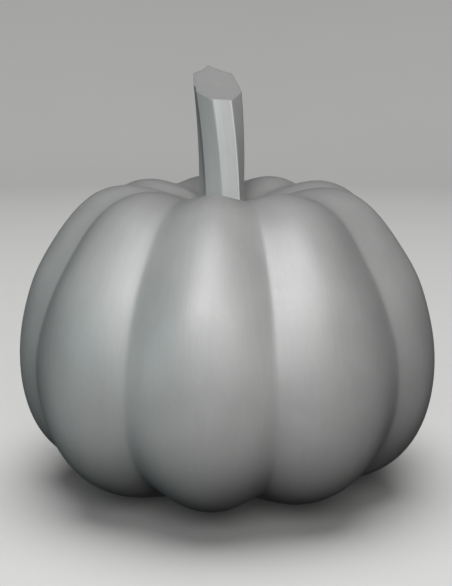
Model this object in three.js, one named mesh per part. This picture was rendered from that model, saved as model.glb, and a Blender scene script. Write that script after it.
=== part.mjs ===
// A ribbed pumpkin standing upright on its flattened blossom end, with a leaning, cut stem.
// Millimetres, +Z up. The origin is the middle of the flat spot that the fruit rests on,
// -Y is the front, and the fruit's axis is the Z axis.

import * as THREE from 'three';

// ---- Driving dimensions ----

const ribCount = 9;
const frontRibTurn = -7;       // degrees from -Y towards +X of the rib nearest the front

// The fruit's skin, followed from the stem's seat over the shoulder to the flat spot.
// Each line is a radius, a height on a rib's crest, and the depth of the groove beside it.
const seatRadius = 22;
const seatHeight = 171.5;
const ribOutline = [
  [seatRadius, seatHeight, 0],
  [28, 174.4, 1],
  [38, 178, 2.5],
  [57.5, 182, 4.5],
  [77, 178, 6.5],
  [92, 165.5, 8],
  [104, 149.5, 9],
  [114, 132, 9],
  [120.5, 113.5, 8],
  [124.5, 94, 7],
  [125.5, 74, 7],
  [123, 54, 8],
  [116, 36, 9.5],
  [103, 20.5, 10.5],
  [86, 10.5, 10],
  [67, 4.5, 9],
  [50, 0.8, 6.5],
  [38, -0.4, 3.5],
  [24, -0.4, 1.2],
  [10, 0, 0],
];
const coreHeight = 83;         // grooves are pressed in towards this height on the axis
const shoulderFullness = 0.9;  // ribs are rounder across on the shoulder than at the waist
const shoulderSpread = 2.5;
const grooveSoftness = 0.1;    // rounding at the bottom of a groove, widest at the waist

const restGap = 0.3;           // between the seat and the stem's foot
const stemFoot = new THREE.Vector3(-1.7, -0.2, seatHeight + restGap);
const stemBend = new THREE.Vector3(-1.4, 8.3, 207);
const stemTip = new THREE.Vector3(-6, 19.2, 241.1);
const cutSlopeX = 0.1;         // the cut end rises to the right and to the back
const cutSlopeY = 0.58;
const footFlare = 2;           // how far the stem spreads where it grows out of the fruit
const footFlareHeight = 5;

// The stem's ridges, which wind a little on their way up. Each line is a ridge's direction in
// degrees from +X and its distance from the centre line, at the foot and then at the tip.
const stemRidges = [
  [152, 17, 141.5, 17.8],
  [122, 16.5, 106.5, 16.7],
  [47, 12, 35.5, 11.8],
  [-36, 14.2, -31, 16.9],
  [-60.5, 18.6, -65, 16.6],
  [-94.5, 12.4, -109.5, 13.2],
  [-161, 11.4, -166.5, 13.9],
  [-195, 15.6, -185, 14.4],
];

// How far the middle of the face after each ridge stands out from flat; hollow is negative.
const stemFaceBulges = [-1.2, -0.5, 0, 0, -0.2, 0.2, -0.6, 0];

// ---- Mesh density ----

const columnsPerRib = 10;
const fruitRows = 36;
const stemRows = 16;

// ---- Closed solids from stacked rings ----

// Rings run anticlockwise seen from above, the lowest first. Each end closes on its centre.
function solidFromRings(rings, bottomCentre, topCentre) {
  const width = rings[0].length;
  const points = [...rings.flat(), bottomCentre, topCentre];
  const bottom = points.length - 2;
  const top = points.length - 1;
  const lastRing = (rings.length - 1) * width;
  const faces = [];
  for (let i = 0; i < width; i++) {
    const next = (i + 1) % width;
    faces.push(bottom, next, i);
    faces.push(top, lastRing + i, lastRing + next);
    for (let row = 0; row < rings.length - 1; row++) {
      const low = row * width;
      const high = low + width;
      faces.push(low + i, low + next, high + next);
      faces.push(low + i, high + next, high + i);
    }
  }
  const geometry = new THREE.BufferGeometry().setFromPoints(points);
  geometry.setIndex(faces);
  geometry.computeVertexNormals();
  return geometry;
}

// ---- Fruit ----

// 1 on a rib's crest, 0 at the bottom of a groove; turn runs from -0.5 to 0.5 across a rib.
function ribWave(turn, fullness, softness) {
  const rounding = softness ** 2;
  const arch = (Math.cos(Math.PI * turn) ** 2 + rounding) / (1 + rounding);
  const floor = (rounding / (1 + rounding)) ** (fullness / 2);
  return (arch ** (fullness / 2) - floor) / (1 - floor);
}

function fruitPoint(station, ribIndex, turn) {
  const [radius, height, grooveDepth] = station.toArray();
  const toSkin = new THREE.Vector2(radius, height - coreHeight).normalize();
  const fullness = 1 + shoulderFullness * Math.max(0, toSkin.y) ** shoulderSpread;
  const softness = 0.003 + grooveSoftness * toSkin.x ** 2;
  const sink = grooveDepth * (1 - ribWave(turn, fullness, softness));
  const skinRadius = radius - sink * toSkin.x;
  const skinHeight = Math.max(0, height - sink * toSkin.y);
  const ribAngle = 360 * (ribIndex + turn) / ribCount;
  const angle = THREE.MathUtils.degToRad(frontRibTurn + ribAngle);
  return new THREE.Vector3(skinRadius * Math.sin(angle), -skinRadius * Math.cos(angle), skinHeight);
}

function fruitGeometry() {
  const stations = ribOutline.map(([radius, height, depth]) => new THREE.Vector3(radius, height, depth));
  const outline = new THREE.CatmullRomCurve3(stations, false, 'centripetal');
  const rings = [];
  for (const station of outline.getSpacedPoints(fruitRows).reverse()) {
    const ring = [];
    for (let rib = 0; rib < ribCount; rib++) {
      for (let column = 0; column < columnsPerRib; column++) {
        // Columns crowd towards the grooves, where the skin turns fastest.
        const across = 2 * column / columnsPerRib - 1;
        ring.push(fruitPoint(station, rib, 0.5 * Math.sin(across * Math.PI / 2)));
      }
    }
    rings.push(ring);
  }
  return solidFromRings(rings, new THREE.Vector3(0, 0, 0), new THREE.Vector3(0, 0, seatHeight));
}

// ---- Stem ----

const stemPath = new THREE.QuadraticBezierCurve3(stemFoot, stemBend, stemTip);

// The stem's section at a share of the way up, around its centre line: every ridge and the
// middle of every face, anticlockwise from above.
function stemSection(share) {
  const corners = stemRidges.map(([footDegrees, footRadius, tipDegrees, tipRadius]) => {
    const degrees = THREE.MathUtils.lerp(footDegrees, tipDegrees, share);
    const radius = THREE.MathUtils.lerp(footRadius, tipRadius, share);
    const angle = THREE.MathUtils.degToRad(degrees);
    return new THREE.Vector2(Math.cos(angle), Math.sin(angle)).multiplyScalar(radius);
  });
  const section = [];
  corners.forEach((corner, i) => {
    const middle = corner.clone().add(corners[(i + 1) % corners.length]).multiplyScalar(0.5);
    middle.setLength(middle.length() + stemFaceBulges[i]);
    section.push(corner, middle);
  });
  return section.reverse();
}

function stemPoint(index, height) {
  const share = (height - stemFoot.z) / (stemTip.z - stemFoot.z);
  const centre = stemPath.getPoint(share);
  const offset = stemSection(share)[index];
  const aboveFoot = Math.min(1, (height - stemFoot.z) / footFlareHeight);
  offset.setLength(offset.length() + footFlare * (1 - aboveFoot) ** 2);
  return new THREE.Vector3(centre.x + offset.x, centre.y + offset.y, height);
}

// The height at which a line up the stem's side meets the sloping cut.
function cutHeight(index) {
  let height = stemTip.z;
  for (let pass = 0; pass < 12; pass++) {
    const point = stemPoint(index, height);
    height = stemTip.z + cutSlopeX * (point.x - stemTip.x) + cutSlopeY * (point.y - stemTip.y);
  }
  return height;
}

function stemGeometry() {
  const tops = stemSection(0).map((corner, index) => cutHeight(index));
  const rings = [];
  for (let row = 0; row <= stemRows; row++) {
    // Rows crowd towards the foot, where the stem spreads.
    const share = (row / stemRows) ** 1.5;
    rings.push(tops.map((top, index) => stemPoint(index, THREE.MathUtils.lerp(stemFoot.z, top, share))));
  }
  return solidFromRings(rings, stemFoot, stemTip);
}

// ---- The pumpkin ----

const skin = new THREE.MeshStandardMaterial({ color: 0xb3b7b4, roughness: 0.55, metalness: 0 });
const driedStem = new THREE.MeshStandardMaterial({ color: 0xaeb2af, roughness: 0.65, metalness: 0 });

const fruit = new THREE.Mesh(fruitGeometry(), skin);
fruit.name = 'fruit';

const stem = new THREE.Mesh(stemGeometry(), driedStem);
stem.name = 'stem';

const pumpkin = new THREE.Group();
pumpkin.add(fruit, stem);

export default pumpkin;
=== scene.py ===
import math

import bpy
import numpy as np
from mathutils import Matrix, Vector


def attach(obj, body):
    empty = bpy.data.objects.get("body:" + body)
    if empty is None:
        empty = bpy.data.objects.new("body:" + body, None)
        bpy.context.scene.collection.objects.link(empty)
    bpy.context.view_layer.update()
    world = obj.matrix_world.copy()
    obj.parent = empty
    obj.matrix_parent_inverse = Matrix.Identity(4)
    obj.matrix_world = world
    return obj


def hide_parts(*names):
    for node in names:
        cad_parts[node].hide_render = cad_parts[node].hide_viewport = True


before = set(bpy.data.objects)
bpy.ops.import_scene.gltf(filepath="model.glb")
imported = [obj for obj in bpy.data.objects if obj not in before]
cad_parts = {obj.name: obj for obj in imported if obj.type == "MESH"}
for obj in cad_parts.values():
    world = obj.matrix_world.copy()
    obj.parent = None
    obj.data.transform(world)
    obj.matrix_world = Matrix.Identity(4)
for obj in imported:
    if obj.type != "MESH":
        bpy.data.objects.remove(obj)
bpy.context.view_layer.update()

# A ribbed pumpkin with a cut stem. +Z is up, -Y is the front, and the fruit's axis is Z. The
# shapes of the fruit and the stem are worked out in millimetres, and everything else in metres.

MM = 0.001

# ---- Camera ----

CAMERA_PLACE = (0.0, -0.6628, 0.2500)
CAMERA_AIM = (-0.0006, 0.0, 0.1163)
CAMERA_LENS_MM = 68.53
CAMERA_SENSOR_MM = 36.0


def aim(obj, target):
    """Turn an object so that its -Z axis points at the target."""
    direction = Vector(target) - obj.location
    obj.rotation_euler = direction.to_track_quat("-Z", "Y").to_euler()


camera_data = bpy.data.cameras.new("camera")
camera_data.lens = CAMERA_LENS_MM
camera_data.sensor_width = CAMERA_SENSOR_MM
camera_data.clip_start = 0.01
camera_data.clip_end = 50
camera = bpy.data.objects.new("camera", camera_data)
camera.location = CAMERA_PLACE
aim(camera, CAMERA_AIM)
bpy.context.collection.objects.link(camera)
bpy.context.scene.camera = camera


# ---- Meshes from stacked rings ----

def piece_from_rings(name, rings, bottom, top, attributes):
    """A closed mesh. Rings run from the bottom up and anticlockwise from above, one row each;
    bottom and top are the centres that close the ends. Attributes hold a number or a vector for
    each ring point, and a centre takes its ring's mean."""
    rows, width, _ = rings.shape
    points = np.concatenate([rings.reshape(-1, 3), [bottom, top]])
    column = np.arange(width)
    following = (column + 1) % width
    low = (np.arange(rows - 1) * width)[:, None]
    high = low + width
    quads = np.stack([low + column, low + following, high + following, high + column], axis=-1)
    last = (rows - 1) * width
    bottom_index = rows * width
    top_index = bottom_index + 1
    bottom_fan = np.stack([following, column, np.full(width, bottom_index)], axis=-1)
    top_fan = np.stack([last + column, last + following, np.full(width, top_index)], axis=-1)
    faces = quads.reshape(-1, 4).tolist() + bottom_fan.tolist() + top_fan.tolist()
    mesh = bpy.data.meshes.new(name)
    mesh.from_pydata(points.tolist(), [], faces)
    mesh.polygons.foreach_set("use_smooth", [True] * len(mesh.polygons))
    for attribute_name, values in attributes.items():
        ends = np.stack([values[0].mean(axis=0), values[-1].mean(axis=0)])
        flat = np.concatenate([values.reshape(rows * width, *values.shape[2:]), ends])
        if values.ndim == 3:
            layer = mesh.attributes.new(attribute_name, "FLOAT_VECTOR", "POINT")
            layer.data.foreach_set("vector", flat.ravel())
        else:
            layer = mesh.attributes.new(attribute_name, "FLOAT", "POINT")
            layer.data.foreach_set("value", flat)
    mesh.update()
    piece = bpy.data.objects.new(name, mesh)
    bpy.context.collection.objects.link(piece)
    return piece


PATH_SAMPLES = 4000    # enough to measure a path's length well


def smooth_path(stations, count):
    """Points evenly spaced along a natural cubic spline through the stations."""
    steps = np.linalg.norm(np.diff(stations, axis=0), axis=1)
    knots = np.concatenate([[0], np.cumsum(steps)])
    size = len(knots)
    matrix = np.eye(size)
    rise = np.zeros_like(stations)
    for i in range(1, size - 1):
        before = knots[i] - knots[i - 1]
        after = knots[i + 1] - knots[i]
        matrix[i, i - 1] = before
        matrix[i, i] = 2 * (before + after)
        matrix[i, i + 1] = after
        slope_after = (stations[i + 1] - stations[i]) / after
        slope_before = (stations[i] - stations[i - 1]) / before
        rise[i] = 6 * (slope_after - slope_before)
    bend = np.linalg.solve(matrix, rise)

    def at(along):
        index = np.clip(np.searchsorted(knots, along, side="right") - 1, 0, size - 2)
        span = (knots[index + 1] - knots[index])[:, None]
        share = ((along - knots[index]) / span[:, 0])[:, None]
        rest = 1 - share
        line = rest * stations[index] + share * stations[index + 1]
        curve = (rest ** 3 - rest) * bend[index] + (share ** 3 - share) * bend[index + 1]
        return line + span ** 2 / 6 * curve

    fine = np.linspace(0, knots[-1], PATH_SAMPLES)
    length = np.concatenate([[0], np.cumsum(np.linalg.norm(np.diff(at(fine), axis=0), axis=1))])
    return at(np.interp(np.linspace(0, length[-1], count), length, fine))


# ---- Fruit ----

RIB_COUNT = 9
FRONT_RIB_TURN = math.radians(-7)
SEAT_HEIGHT = 171.5

# From the stem's seat over the shoulder to the flat spot, in millimetres: a radius, a height on
# a rib's crest, and the depth of the groove beside it.
RIB_OUTLINE = np.array([
    [22, SEAT_HEIGHT, 0],
    [28, 174.4, 1],
    [38, 178, 2.5],
    [57.5, 182, 4.5],
    [77, 178, 6.5],
    [92, 165.5, 8],
    [104, 149.5, 9],
    [114, 132, 9],
    [120.5, 113.5, 8],
    [124.5, 94, 7],
    [125.5, 74, 7],
    [123, 54, 8],
    [116, 36, 9.5],
    [103, 20.5, 10.5],
    [86, 10.5, 10],
    [67, 4.5, 9],
    [50, 0.8, 6.5],
    [38, -0.4, 3.5],
    [24, -0.4, 1.2],
    [10, 0, 0],
])
CORE_HEIGHT = 83           # grooves are pressed in towards this height on the axis
SHOULDER_FULLNESS = 0.9    # ribs are rounder across on the shoulder than at the waist
SHOULDER_SPREAD = 2.5
LEAST_SOFTNESS = 0.003
GROOVE_SOFTNESS = 0.1      # rounding at the bottom of a groove, widest at the waist
FULL_GROOVE_SHADE_DEPTH = 6      # grooves this deep or deeper take the whole painted groove shade

UNEVEN = 0.12              # how far the skin's slight lumps reach; most of them are hollows
UNEVEN_WAVELENGTHS = (26, 31, 36, 42, 48, 55, 63, 72, 85, 100)
UNEVEN_SEED = 5
UNEVEN_FROM_HEIGHT = 4     # the flat spot below this height has no lumps
UNEVEN_FROM_RADIUS = 30    # nor has the stem's seat inside this radius
UNEVEN_FADE = 12           # both fade in over this distance

COLUMNS_PER_RIB = 40
FRUIT_ROWS = 230


def rib_wave(turn, fullness, softness):
    """1 on a rib's crest, 0 at the bottom of a groove; turn runs from -0.5 to 0.5 across a rib."""
    rounding = softness ** 2
    arch = (np.cos(np.pi * turn) ** 2 + rounding) / (1 + rounding)
    floor = (rounding / (1 + rounding)) ** (fullness / 2)
    return (arch ** (fullness / 2) - floor) / (1 - floor)


def unevenness(points, wavelengths, seed):
    """Soft lumps around zero, about 1 high, with a random direction for each wavelength."""
    random = np.random.default_rng(seed)
    total = np.zeros(points.shape[:-1])
    for wavelength in wavelengths:
        direction = random.normal(size=3)
        direction *= 2 * np.pi / wavelength / np.linalg.norm(direction)
        total += np.sin(points @ direction + random.uniform(0, 2 * np.pi))
    return total / math.sqrt(len(wavelengths) / 2)


def build_fruit():
    """The skin from the flat spot up to the stem's seat, all nine ribs round."""
    stations = smooth_path(RIB_OUTLINE, FRUIT_ROWS)[::-1]
    radius, height, depth = (stations[:, i][:, None] for i in range(3))
    reach = np.hypot(radius, height - CORE_HEIGHT)
    out = radius / reach
    up = (height - CORE_HEIGHT) / reach
    fullness = 1 + SHOULDER_FULLNESS * np.maximum(0, up) ** SHOULDER_SPREAD
    softness = LEAST_SOFTNESS + GROOVE_SOFTNESS * out ** 2
    across = np.arange(COLUMNS_PER_RIB) / COLUMNS_PER_RIB * 2 - 1
    rib_turn = 0.5 * np.sin(across * np.pi / 2)
    turn = np.tile(rib_turn, RIB_COUNT)[None]
    rib = np.repeat(np.arange(RIB_COUNT), COLUMNS_PER_RIB)[None]
    wave = rib_wave(turn, fullness, softness)
    sink = depth * (1 - wave)
    skin_radius = radius - sink * out
    skin_height = np.maximum(0, height - sink * up)
    angle = FRONT_RIB_TURN + 2 * np.pi * (rib + turn) / RIB_COUNT
    rings = np.stack([
        skin_radius * np.sin(angle),
        -skin_radius * np.cos(angle),
        skin_height + 0 * angle,
    ], axis=-1)
    above_flat = np.clip((height - UNEVEN_FROM_HEIGHT) / UNEVEN_FADE, 0, 1)
    beyond_seat = np.clip((radius - UNEVEN_FROM_RADIUS) / UNEVEN_FADE, 0, 1)
    free = above_flat * beyond_seat
    lumps = UNEVEN * free * (unevenness(rings, UNEVEN_WAVELENGTHS, UNEVEN_SEED) - 1)
    toward_skin = rings - [0, 0, CORE_HEIGHT]
    toward_skin /= np.linalg.norm(toward_skin, axis=-1, keepdims=True)
    rings = rings + toward_skin * lumps[..., None]
    # How far into a groove each point lies; the rind paints shade into the grooves by it.
    groove = (1 - wave) * np.minimum(1, depth / FULL_GROOVE_SHADE_DEPTH)
    bottom = (0, 0, 0)
    top = (0, 0, SEAT_HEIGHT * MM)
    return piece_from_rings("pumpkin_fruit", rings * MM, bottom, top, {"groove": groove})


fruit = build_fruit()


# ---- Stem ----

FOOT_GAP = 0.3
STEM_FOOT = np.array([-1.7, -0.2, SEAT_HEIGHT + FOOT_GAP])
STEM_BEND = np.array([-1.4, 8.3, 207])
STEM_TIP = np.array([-6, 19.2, 241.1])
CUT_SLOPE = np.array([0.1, 0.58])    # the cut end rises to the right and to the back
CUT_PASSES = 12                      # enough to settle the height where the side meets the cut
FOOT_FLARE = 2                       # how far the stem spreads where it grows out of the fruit
FOOT_FLARE_HEIGHT = 5
FOOT_SINK = 1.5                      # the stem reaches this far below its foot, into the fruit

# A ridge's direction in degrees from +X and its distance from the centre line, at the foot and
# then at the tip, and how far the middle of the face after it stands out.
STEM_RIDGES = np.array([
    [152, 17, 141.5, 17.8, -1.2],
    [122, 16.5, 106.5, 16.7, -0.5],
    [47, 12, 35.5, 11.8, 0],
    [-36, 14.2, -31, 16.9, 0],
    [-60.5, 18.6, -65, 16.6, -0.2],
    [-94.5, 12.4, -109.5, 13.2, 0.2],
    [-161, 11.4, -166.5, 13.9, -0.6],
    [-195, 15.6, -185, 14.4, 0],
])
# Painted shade: how pale the face after each ridge is painted, as a share of the stem's own colour, so
# that each face carries the shade its slant would get; the darkest, 0.6, stands in for the shade in a
# narrow hollow.
PAINTED_FACE_SHADES = (0.96, 0.96, 0.9, 0.8, 0.98, 0.92, 0.6, 0.85)

ARRIS = 0.08               # the share of a face that its rounded ridge takes at each side
FACE_COLUMNS = 14
ARRIS_COLUMNS = 6
STEM_ROWS = 110
ROW_CROWDING = 1.2         # rows crowd towards the foot, where the stem spreads
CUT_ROUNDING = 0.5         # radius of the cut's worn edge
CUT_ROUNDING_TURNS = (30, 60, 90)
CUT_DISH = 0.35            # how far the middle of the cut has shrunk in
CAP_SHARES = (0.06, 0.15, 0.25, 0.35, 0.45, 0.55, 0.65, 0.75, 0.85, 0.94)
STEM_GRAIN_RADIUS = 16
FIBRE_RELIEF = 0.02        # height of the fine cords that run up the stem
FIBRE_COUNTS = (19, 27, 34, 41)
FIBRE_SWAY = 1.5           # how far a cord wanders on its way up, in radians of its own wave
FIBRE_SEED = 11
FIBRE_FADE = 8             # the cords die out just under the cut


def stem_section(share):
    """The section's outline around its centre line at each share of the way up."""
    share = np.atleast_1d(share)[:, None]
    foot_angle, foot_radius, tip_angle, tip_radius, bulge = STEM_RIDGES.T[:, None]
    angle = np.radians(foot_angle + (tip_angle - foot_angle) * share)
    radius = foot_radius + (tip_radius - foot_radius) * share
    corner = np.stack([radius * np.cos(angle), radius * np.sin(angle)], axis=-1)
    after = np.roll(corner, -1, axis=1)
    middle = (corner + after) / 2
    length = np.linalg.norm(middle, axis=-1, keepdims=True)
    control = middle + 2 * bulge[..., None] * middle / length

    def on_face(start, mid, end, t):
        return (1 - t) ** 2 * start + 2 * t * (1 - t) * mid + t ** 2 * end

    columns = []
    for i in range(len(STEM_RIDGES)):
        face = (corner[:, i], control[:, i], after[:, i])
        previous = (corner[:, i - 1], control[:, i - 1], after[:, i - 1])
        leave = on_face(*previous, 1 - ARRIS)
        enter = on_face(*face, ARRIS)
        for t in np.arange(ARRIS_COLUMNS) / ARRIS_COLUMNS:
            columns.append(on_face(leave, corner[:, i], enter, t))
        for t in np.arange(FACE_COLUMNS) / FACE_COLUMNS:
            columns.append(on_face(*face, ARRIS + (1 - 2 * ARRIS) * t))
    return np.stack(columns, axis=1)[:, ::-1]


def stem_points(height):
    """The stem's skin at a height for each column, or at one row of heights per ring."""
    share = (height - STEM_FOOT[2]) / (STEM_TIP[2] - STEM_FOOT[2])
    spine = share[..., None]
    centre = (1 - spine) ** 2 * STEM_FOOT + 2 * spine * (1 - spine) * STEM_BEND + spine ** 2 * STEM_TIP
    width = height.shape[-1]
    section = stem_section(share.ravel()).reshape(*height.shape, -1, 2)
    index = np.arange(width)
    offset = section[..., index, index, :]
    above_foot = np.minimum((height - STEM_FOOT[2]) / FOOT_FLARE_HEIGHT, 1)
    flare = FOOT_FLARE * (1 - above_foot) ** 2
    length = np.linalg.norm(offset, axis=-1)
    offset = offset * (1 + flare / length)[..., None]
    return np.concatenate([centre[..., :2] + offset, height[..., None]], axis=-1)


def stem_cords(around, share):
    """Fine cords around zero, about 1 high, that wander a little on their way up."""
    random = np.random.default_rng(FIBRE_SEED)
    total = 0
    for count in FIBRE_COUNTS:
        start = random.uniform(0, 6)
        wander = FIBRE_SWAY * np.sin(share * random.uniform(2, 5))
        total = total + np.sin(count * around + start + wander)
    return total / math.sqrt(len(FIBRE_COUNTS))


def build_stem():
    """The ridged side from just inside the fruit up to the cut, the cut's worn edge, and the cut
    end, which sinks in towards its middle."""
    width = len(STEM_RIDGES) * (FACE_COLUMNS + ARRIS_COLUMNS)
    top = np.full(width, STEM_TIP[2])
    for _ in range(CUT_PASSES):
        place = stem_points(top)
        top = STEM_TIP[2] + (place[:, :2] - STEM_TIP[:2]) @ CUT_SLOPE
    low = STEM_FOOT[2] - FOOT_SINK
    share = np.linspace(0, 1, STEM_ROWS)[:, None] ** ROW_CROWDING
    side = stem_points(low + (top - CUT_ROUNDING - low) * share)
    around = 2 * np.pi * np.arange(width) / width
    outward = side[..., :2] - side[..., :2].mean(axis=1, keepdims=True)
    outward /= np.linalg.norm(outward, axis=-1, keepdims=True)
    relief = FIBRE_RELIEF * stem_cords(around, share) * (1 - share ** FIBRE_FADE)
    side[..., :2] += outward * relief[..., None]
    rim = stem_points(top)
    inward = STEM_TIP - rim
    inward /= np.linalg.norm(inward, axis=-1, keepdims=True)
    rings = [side]
    cut = [np.zeros((STEM_ROWS, width))]
    for turn in CUT_ROUNDING_TURNS:
        lean = math.radians(turn)
        moved = rim + inward * CUT_ROUNDING * (1 - math.cos(lean))
        moved = moved - [0, 0, CUT_ROUNDING * (1 - math.sin(lean))]
        rings.append(moved[None])
        cut.append(np.full((1, width), turn / 90))
    flat = rings[-1][0]
    for inward_share in CAP_SHARES:
        ring = flat + (STEM_TIP - flat) * inward_share
        ring = ring - [0, 0, CUT_DISH * math.sin(inward_share * math.pi / 2)]
        rings.append(ring[None])
        cut.append(np.ones((1, width)))
    rings = np.concatenate(rings)
    cut = np.concatenate(cut)
    inset = np.concatenate([np.zeros(STEM_ROWS + len(CUT_ROUNDING_TURNS)), CAP_SHARES])[:, None]
    grain = np.stack([
        STEM_GRAIN_RADIUS * (1 - inset) * np.cos(around),
        STEM_GRAIN_RADIUS * (1 - inset) * np.sin(around),
        rings[..., 2],
    ], axis=-1)
    # Painted shade on each face of the stem's side; the cut end takes none.
    painted_column_shade = np.repeat(PAINTED_FACE_SHADES, ARRIS_COLUMNS + FACE_COLUMNS)
    painted_column_shade = np.roll(painted_column_shade, ARRIS_COLUMNS // 2)[::-1]
    painted_face_shade = 1 + (painted_column_shade - 1) * (1 - cut)
    attributes = {
        "painted_face_shade": painted_face_shade,
        "cut": cut,
        "inset": inset + 0 * around,
        "grain": grain * MM,
    }
    bottom = (*STEM_FOOT[:2] * MM, low * MM)
    tip = STEM_TIP - [0, 0, CUT_DISH]
    return piece_from_rings("pumpkin_stem", rings * MM, bottom, tip * MM, attributes)


stem = build_stem()


# ---- Materials ----

class Shading:
    """A material's node tree, with short ways to add the nodes that the finishes share."""

    def __init__(self, name):
        self.material = bpy.data.materials.new(name)
        self.material.use_nodes = True
        self.tree = self.material.node_tree
        self.tree.nodes.clear()
        output = self.tree.nodes.new("ShaderNodeOutputMaterial")
        self.shader = self.tree.nodes.new("ShaderNodeBsdfPrincipled")
        self.link(self.shader.outputs["BSDF"], output.inputs["Surface"])

    def link(self, value, socket):
        """Join an output to a socket, or set the socket to a plain number, vector or colour."""
        if isinstance(value, bpy.types.NodeSocket):
            self.tree.links.new(value, socket)
        else:
            socket.default_value = value

    def place(self):
        """The object's own coordinates, in metres."""
        return self.tree.nodes.new("ShaderNodeTexCoord").outputs["Object"]

    def attribute(self, name, output="Fac"):
        node = self.tree.nodes.new("ShaderNodeAttribute")
        node.attribute_name = name
        return node.outputs[output]

    def math(self, operation, first, second=0.0):
        node = self.tree.nodes.new("ShaderNodeMath")
        node.operation = operation
        self.link(first, node.inputs[0])
        self.link(second, node.inputs[1])
        return node.outputs[0]

    def vector(self, operation, first, second=(0.0, 0.0, 0.0)):
        node = self.tree.nodes.new("ShaderNodeVectorMath")
        node.operation = operation
        self.link(first, node.inputs[0])
        self.link(second, node.inputs[1])
        return node.outputs["Value" if operation == "LENGTH" else "Vector"]

    def remap(self, value, low, high, to_low=0.0, to_high=1.0):
        """value from low..high to to_low..to_high, eased at both ends."""
        node = self.tree.nodes.new("ShaderNodeMapRange")
        node.interpolation_type = "SMOOTHSTEP"
        self.link(value, node.inputs["Value"])
        self.link(low, node.inputs["From Min"])
        self.link(high, node.inputs["From Max"])
        self.link(to_low, node.inputs["To Min"])
        self.link(to_high, node.inputs["To Max"])
        return node.outputs["Result"]

    def noise(self, place, scale, detail=2.0, roughness=0.5):
        node = self.tree.nodes.new("ShaderNodeTexNoise")
        self.link(place, node.inputs["Vector"])
        self.link(scale, node.inputs["Scale"])
        self.link(detail, node.inputs["Detail"])
        self.link(roughness, node.inputs["Roughness"])
        return node.outputs["Fac"]

    def cells(self, place, scale):
        """Distance to the nearest of scattered points, and a random number for each of them."""
        node = self.tree.nodes.new("ShaderNodeTexVoronoi")
        self.link(place, node.inputs["Vector"])
        self.link(scale, node.inputs["Scale"])
        return node.outputs["Distance"], self.parts(node.outputs["Color"])[0]

    def parts(self, vector):
        node = self.tree.nodes.new("ShaderNodeSeparateXYZ")
        self.link(vector, node.inputs[0])
        return node.outputs[0], node.outputs[1], node.outputs[2]

    def combine(self, x, y, z):
        node = self.tree.nodes.new("ShaderNodeCombineXYZ")
        for value, socket in zip((x, y, z), node.inputs):
            self.link(value, socket)
        return node.outputs[0]

    def mix(self, amount, first, second):
        node = self.tree.nodes.new("ShaderNodeMix")
        node.data_type = "RGBA"
        self.link(amount, node.inputs[0])
        self.link(first, node.inputs[6])
        self.link(second, node.inputs[7])
        return node.outputs[2]

    def satin(self):
        """A soft, broad sheen over the whole surface."""
        self.shader.inputs["Specular IOR Level"].default_value = 1.0
        self.shader.inputs["Coat Weight"].default_value = 1.0
        self.shader.inputs["Coat Roughness"].default_value = 0.5

    def bump(self, height, strength, distance):
        node = self.tree.nodes.new("ShaderNodeBump")
        self.link(strength, node.inputs["Strength"])
        self.link(distance, node.inputs["Distance"])
        self.link(height, node.inputs["Height"])
        self.link(node.outputs["Normal"], self.shader.inputs["Normal"])


# Heights above the ground and distances from the axis between which a finish comes or goes.
# The painted underside shade fades out between the first pair of heights.
PAINTED_UNDERSIDE_SHADE_HEIGHTS = (0.0, 0.06)
CORK_HEIGHTS = (0.14, 0.16)
CORK_RADII = (0.022, 0.036)
SCAR_HEIGHTS = (0.02, 0.04)
SCAR_RADII = (0.008, 0.013)
DARK_FOOT_HEIGHTS = (0.172, 0.184)

RIND_DEEP = (0.298, 0.297, 0.296, 1)
RIND_PALE = (0.330, 0.329, 0.327, 1)
RIND_STREAK = (0.262, 0.264, 0.262, 1)
RIND_FINE_STREAK = (0.366, 0.366, 0.364, 1)
RIND_SPECK = (0.388, 0.388, 0.383, 1)
# Painted shade for the bottoms of the grooves.
RIND_PAINTED_GROOVE_SHADE = (0.208, 0.212, 0.210, 1)
# Painted shade for the underside, not a colour of the skin.
RIND_PAINTED_UNDERSIDE_SHADE = (0.196, 0.198, 0.194, 1)
RIND_CORK = (0.25, 0.25, 0.24, 1)
RIND_SCAR = (0.18, 0.18, 0.168, 1)

STEM_DEEP = (0.302, 0.302, 0.301, 1)
STEM_PALE = (0.316, 0.316, 0.314, 1)
STEM_FINE_CORD = (0.362, 0.362, 0.358, 1)
STEM_MOTTLE = (0.262, 0.265, 0.263, 1)
STEM_DARK_FOOT = (0.225, 0.227, 0.218, 1)
CUT_DEEP = (0.272, 0.271, 0.268, 1)
CUT_PALE = (0.304, 0.303, 0.299, 1)
CUT_RIM = (0.225, 0.225, 0.218, 1)
CUT_PITH = (0.342, 0.340, 0.332, 1)


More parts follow.
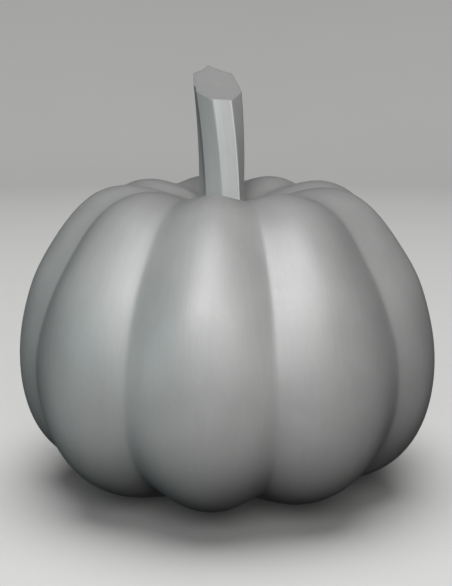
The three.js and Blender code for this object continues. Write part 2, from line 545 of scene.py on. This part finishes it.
def rind_material():
    rind = Shading("pumpkin_rind")
    place = rind.place()
    x, y, z = rind.parts(place)
    flat = rind.combine(x, y, 0.0)
    radius = rind.vector("LENGTH", flat)
    across = rind.vector("NORMALIZE", flat)
    across_x, across_y, _ = rind.parts(across)

    # Streaks run from the stem to the blossom end, so they widen with the fruit.
    streak_place = rind.combine(across_x, across_y, rind.math("MULTIPLY", z, 1.1))
    streaks = rind.noise(streak_place, 34.0, 4.0, 0.6)
    fine_streaks = rind.noise(streak_place, 110.0, 2.0, 0.5)
    mottle = rind.noise(place, 24.0, 4.0, 0.55)
    grain = rind.noise(place, 420.0, 2.0, 0.6)
    distance, chance = rind.cells(place, 230.0)
    dot = rind.remap(distance, 0.10, 0.24, 1.0, 0.0)
    speck = rind.math("MULTIPLY", dot, rind.remap(chance, 0.55, 0.75))
    groove = rind.attribute("groove")

    colour = rind.mix(rind.remap(mottle, 0.3, 0.7), RIND_DEEP, RIND_PALE)
    colour = rind.mix(rind.remap(streaks, 0.35, 0.75, 0.0, 0.26), colour, RIND_STREAK)
    colour = rind.mix(rind.remap(fine_streaks, 0.45, 0.75, 0.0, 0.18), colour, RIND_FINE_STREAK)
    colour = rind.mix(rind.math("MULTIPLY", speck, 0.22), colour, RIND_SPECK)
    # Painted shade: the skin is darkened towards the bottom of each groove.
    colour = rind.mix(rind.remap(groove, 0.35, 1.0, 0.0, 0.1), colour, RIND_PAINTED_GROOVE_SHADE)

    # Painted shade: the skin is darkened towards the bottom over the lowest 60 mm, standing in for the
    # shade on the underside.
    painted_underside_shade = rind.remap(z, *PAINTED_UNDERSIDE_SHADE_HEIGHTS, 0.6, 0.0)
    colour = rind.mix(painted_underside_shade, colour, RIND_PAINTED_UNDERSIDE_SHADE)

    # Corky skin rings the stem, and the blossom end is a small darker scar.
    top = rind.remap(z, *CORK_HEIGHTS)
    cork_edge = rind.math("ADD", radius, rind.remap(mottle, 0.2, 0.8, -0.004, 0.004))
    cork = rind.math("MULTIPLY", rind.remap(cork_edge, *CORK_RADII, 0.5, 0.0), top)
    colour = rind.mix(cork, colour, RIND_CORK)
    scar_edge = rind.math("ADD", radius, rind.remap(grain, 0.2, 0.8, -0.002, 0.002))
    scar = rind.remap(scar_edge, *SCAR_RADII, 0.7, 0.0)
    scar = rind.math("MULTIPLY", scar, rind.remap(z, *SCAR_HEIGHTS, 1.0, 0.0))
    colour = rind.mix(scar, colour, RIND_SCAR)
    rind.link(colour, rind.shader.inputs["Base Color"])

    roughness = rind.remap(mottle, 0.3, 0.7, 0.49, 0.56)
    roughness = rind.math("ADD", roughness, rind.remap(grain, 0.3, 0.7, -0.02, 0.03))
    roughness = rind.math("ADD", roughness, rind.math("MULTIPLY", cork, 0.3))
    rind.link(roughness, rind.shader.inputs["Roughness"])
    rind.satin()

    relief = rind.math("MULTIPLY", grain, 0.35)
    relief = rind.math("ADD", relief, rind.math("MULTIPLY", fine_streaks, 0.35))
    relief = rind.math("ADD", relief, rind.math("MULTIPLY", streaks, 0.6))
    relief = rind.math("SUBTRACT", relief, rind.math("MULTIPLY", speck, 0.35))
    rind.bump(relief, 0.25, 0.0004)
    return rind.material


def stem_material():
    fibre = Shading("pumpkin_stem_fibre")
    grain_place = fibre.attribute("grain", "Vector")
    x, y, z = fibre.parts(grain_place)
    place = fibre.place()
    long_place = fibre.combine(x, y, fibre.math("MULTIPLY", z, 0.05))
    cords = fibre.noise(long_place, 330.0, 3.0, 0.6)
    fine_cords = fibre.noise(long_place, 900.0, 2.0, 0.5)
    mottle = fibre.noise(place, 60.0, 3.0, 0.55)
    stipple = fibre.noise(place, 900.0, 2.0, 0.6)
    cut = fibre.attribute("cut")
    inset = fibre.attribute("inset")
    _, _, height = fibre.parts(place)

    side = fibre.mix(fibre.remap(cords, 0.3, 0.7), STEM_DEEP, STEM_PALE)
    side = fibre.mix(fibre.remap(fine_cords, 0.45, 0.75, 0.0, 0.1), side, STEM_FINE_CORD)
    side = fibre.mix(fibre.remap(mottle, 0.45, 0.75, 0.0, 0.22), side, STEM_MOTTLE)
    side = fibre.mix(fibre.remap(height, *DARK_FOOT_HEIGHTS, 0.35, 0.0), side, STEM_DARK_FOOT)

    # The cut shows fibre ends, a darker line under the skin and a paler pith.
    face = fibre.mix(fibre.remap(stipple, 0.35, 0.7), CUT_DEEP, CUT_PALE)
    face = fibre.mix(fibre.remap(inset, 0.02, 0.14, 0.3, 0.0), face, CUT_RIM)
    face = fibre.mix(fibre.remap(inset, 0.6, 0.9, 0.0, 0.3), face, CUT_PITH)
    # Painted shade for each face of the stem's side.
    painted_face_shade = fibre.attribute("painted_face_shade")
    side = fibre.vector("MULTIPLY", side, fibre.combine(painted_face_shade, painted_face_shade, painted_face_shade))
    colour = fibre.mix(cut, side, face)
    fibre.link(colour, fibre.shader.inputs["Base Color"])

    roughness = fibre.remap(cords, 0.3, 0.7, 0.52, 0.62)
    roughness = fibre.math("ADD", roughness, fibre.math("MULTIPLY", cut, 0.12))
    fibre.link(roughness, fibre.shader.inputs["Roughness"])
    fibre.satin()

    side_relief = fibre.math("MULTIPLY", cords, 0.8)
    side_relief = fibre.math("ADD", side_relief, fibre.math("MULTIPLY", fine_cords, 0.5))
    cut_relief = fibre.math("MULTIPLY", stipple, 0.6)
    side_share = fibre.math("SUBTRACT", 1.0, cut)
    relief = fibre.math(
        "ADD",
        fibre.math("MULTIPLY", side_relief, side_share),
        fibre.math("MULTIPLY", cut_relief, cut),
    )
    fibre.bump(relief, 0.22, 0.0005)
    return fibre.material


fruit.data.materials.append(rind_material())
stem.data.materials.append(stem_material())

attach(fruit, "root")
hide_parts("fruit")
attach(stem, "root")
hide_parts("stem")


# ---- Floor ----

FLOOR_RADIUS = 1.8
BACKDROP_CURVE = 1.0       # the floor sweeps up into the backdrop on this radius
BACKDROP_TOP = 4.0
CURVE_STEPS = 12
FLOOR_COLUMNS = 96
FLOOR_DEEP = (0.70, 0.70, 0.69, 1)
FLOOR_PALE = (0.73, 0.73, 0.72, 1)


def build_floor():
    """A round floor that sweeps up into a wall all round."""
    outline = [(FLOOR_RADIUS * share / 3, 0.0) for share in range(4)]
    for step in range(1, CURVE_STEPS + 1):
        turn = math.radians(90 * step / CURVE_STEPS)
        radius = FLOOR_RADIUS + BACKDROP_CURVE * math.sin(turn)
        outline.append((radius, BACKDROP_CURVE * (1 - math.cos(turn))))
    outline.append((FLOOR_RADIUS + BACKDROP_CURVE, BACKDROP_TOP))
    points = [(0, 0, 0)]
    for radius, height in outline[1:]:
        for i in range(FLOOR_COLUMNS):
            angle = 2 * math.pi * i / FLOOR_COLUMNS
            points.append((radius * math.cos(angle), radius * math.sin(angle), height))
    faces = []
    for i in range(FLOOR_COLUMNS):
        following = (i + 1) % FLOOR_COLUMNS
        faces.append((0, 1 + i, 1 + following))
        for row in range(len(outline) - 2):
            low = 1 + row * FLOOR_COLUMNS
            high = low + FLOOR_COLUMNS
            faces.append((low + i, high + i, high + following, low + following))
    mesh = bpy.data.meshes.new("floor")
    mesh.from_pydata(points, [], faces)
    mesh.polygons.foreach_set("use_smooth", [True] * len(mesh.polygons))
    floor = bpy.data.objects.new("floor", mesh)
    bpy.context.collection.objects.link(floor)
    return floor


def floor_material():
    paper = Shading("studio_floor")
    shade = paper.noise(paper.place(), 3.0, 2.0, 0.5)
    colour = paper.mix(shade, FLOOR_DEEP, FLOOR_PALE)
    paper.link(colour, paper.shader.inputs["Base Color"])
    paper.shader.inputs["Roughness"].default_value = 0.95
    paper.shader.inputs["Specular IOR Level"].default_value = 0.2
    return paper.material


floor = build_floor()
floor.data.materials.append(floor_material())
# The floor throws no light back up and shows in no reflection, so the fruit's underside stays
# as dark as it would over a dark floor.
floor.visible_diffuse = False
floor.visible_glossy = False


# ---- Lights ----

def new_group(name, members):
    group = bpy.data.collections.new(name)
    for member in members:
        group.objects.link(member)
    return group


OBJECT_GROUP = new_group("lit_object", [fruit, stem])
FLOOR_GROUP = new_group("lit_floor", [floor])
LIGHT_TARGET = Vector((0, 0, 0.09))


def soft_light(name, azimuth, elevation, distance, size, power, colour, receivers, shine=True):
    """A round light that faces the fruit's middle and lights only its receivers; azimuth 0 is
    the front and 90 the right."""
    data = bpy.data.lights.new(name, "AREA")
    data.shape = "DISK"
    data.size = size
    data.energy = power
    data.color = colour
    lamp = bpy.data.objects.new(name, data)
    turn = math.radians(azimuth)
    rise = math.radians(elevation)
    direction = Vector((
        math.sin(turn) * math.cos(rise),
        -math.cos(turn) * math.cos(rise),
        math.sin(rise),
    ))
    lamp.location = LIGHT_TARGET + distance * direction
    aim(lamp, LIGHT_TARGET)
    lamp.visible_camera = False
    lamp.visible_glossy = shine
    lamp.light_linking.receiver_collection = receivers
    bpy.context.collection.objects.link(lamp)


NEUTRAL = (1, 1, 1)
WARM = (1, 0.96, 0.96)
TEAL = (0.52, 1, 0.97)
FAR = 2.5        # distance of the fruit's lights from its middle
BROAD = 1.0      # width of most of them
AMBIENT = 0.02

# Large, far softboxes: three in front shape the ribs, and a low teal one tints the left side. The
# fill lights at the sides and the back add no shine, so that no bright rims show from the front.
# The floor has lights of its own.
soft_light("key", -15, 35, FAR, BROAD, 30.8, NEUTRAL, OBJECT_GROUP)
soft_light("key_right", 22, 27, FAR, BROAD, 18.7, WARM, OBJECT_GROUP)
soft_light("key_top", 5, 55, FAR, BROAD, 22.0, NEUTRAL, OBJECT_GROUP)
soft_light("low_left", -60, 10, FAR, 1.4, 8.0, TEAL, OBJECT_GROUP)
soft_light("side_right", 105, 25, FAR, BROAD, 4.0, NEUTRAL, OBJECT_GROUP, shine=False)
soft_light("side_left", -105, 25, FAR, BROAD, 3.0, NEUTRAL, OBJECT_GROUP, shine=False)
soft_light("back_right", 155, 20, FAR, BROAD, 16, NEUTRAL, OBJECT_GROUP, shine=False)
soft_light("back_left", -165, 12, FAR, BROAD, 12, NEUTRAL, OBJECT_GROUP, shine=False)
soft_light("floor_light", 0, 90, 3.0, 3.0, 85, NEUTRAL, FLOOR_GROUP)
soft_light("floor_fill", 0, 30, 2.4, 2.0, 22, NEUTRAL, FLOOR_GROUP)

world = bpy.data.worlds.new("studio")
bpy.context.scene.world = world
world.use_nodes = True
background = world.node_tree.nodes["Background"]
background.inputs["Color"].default_value = (1, 1, 1, 1)
background.inputs["Strength"].default_value = AMBIENT

bpy.context.scene.view_settings.view_transform = "Standard"
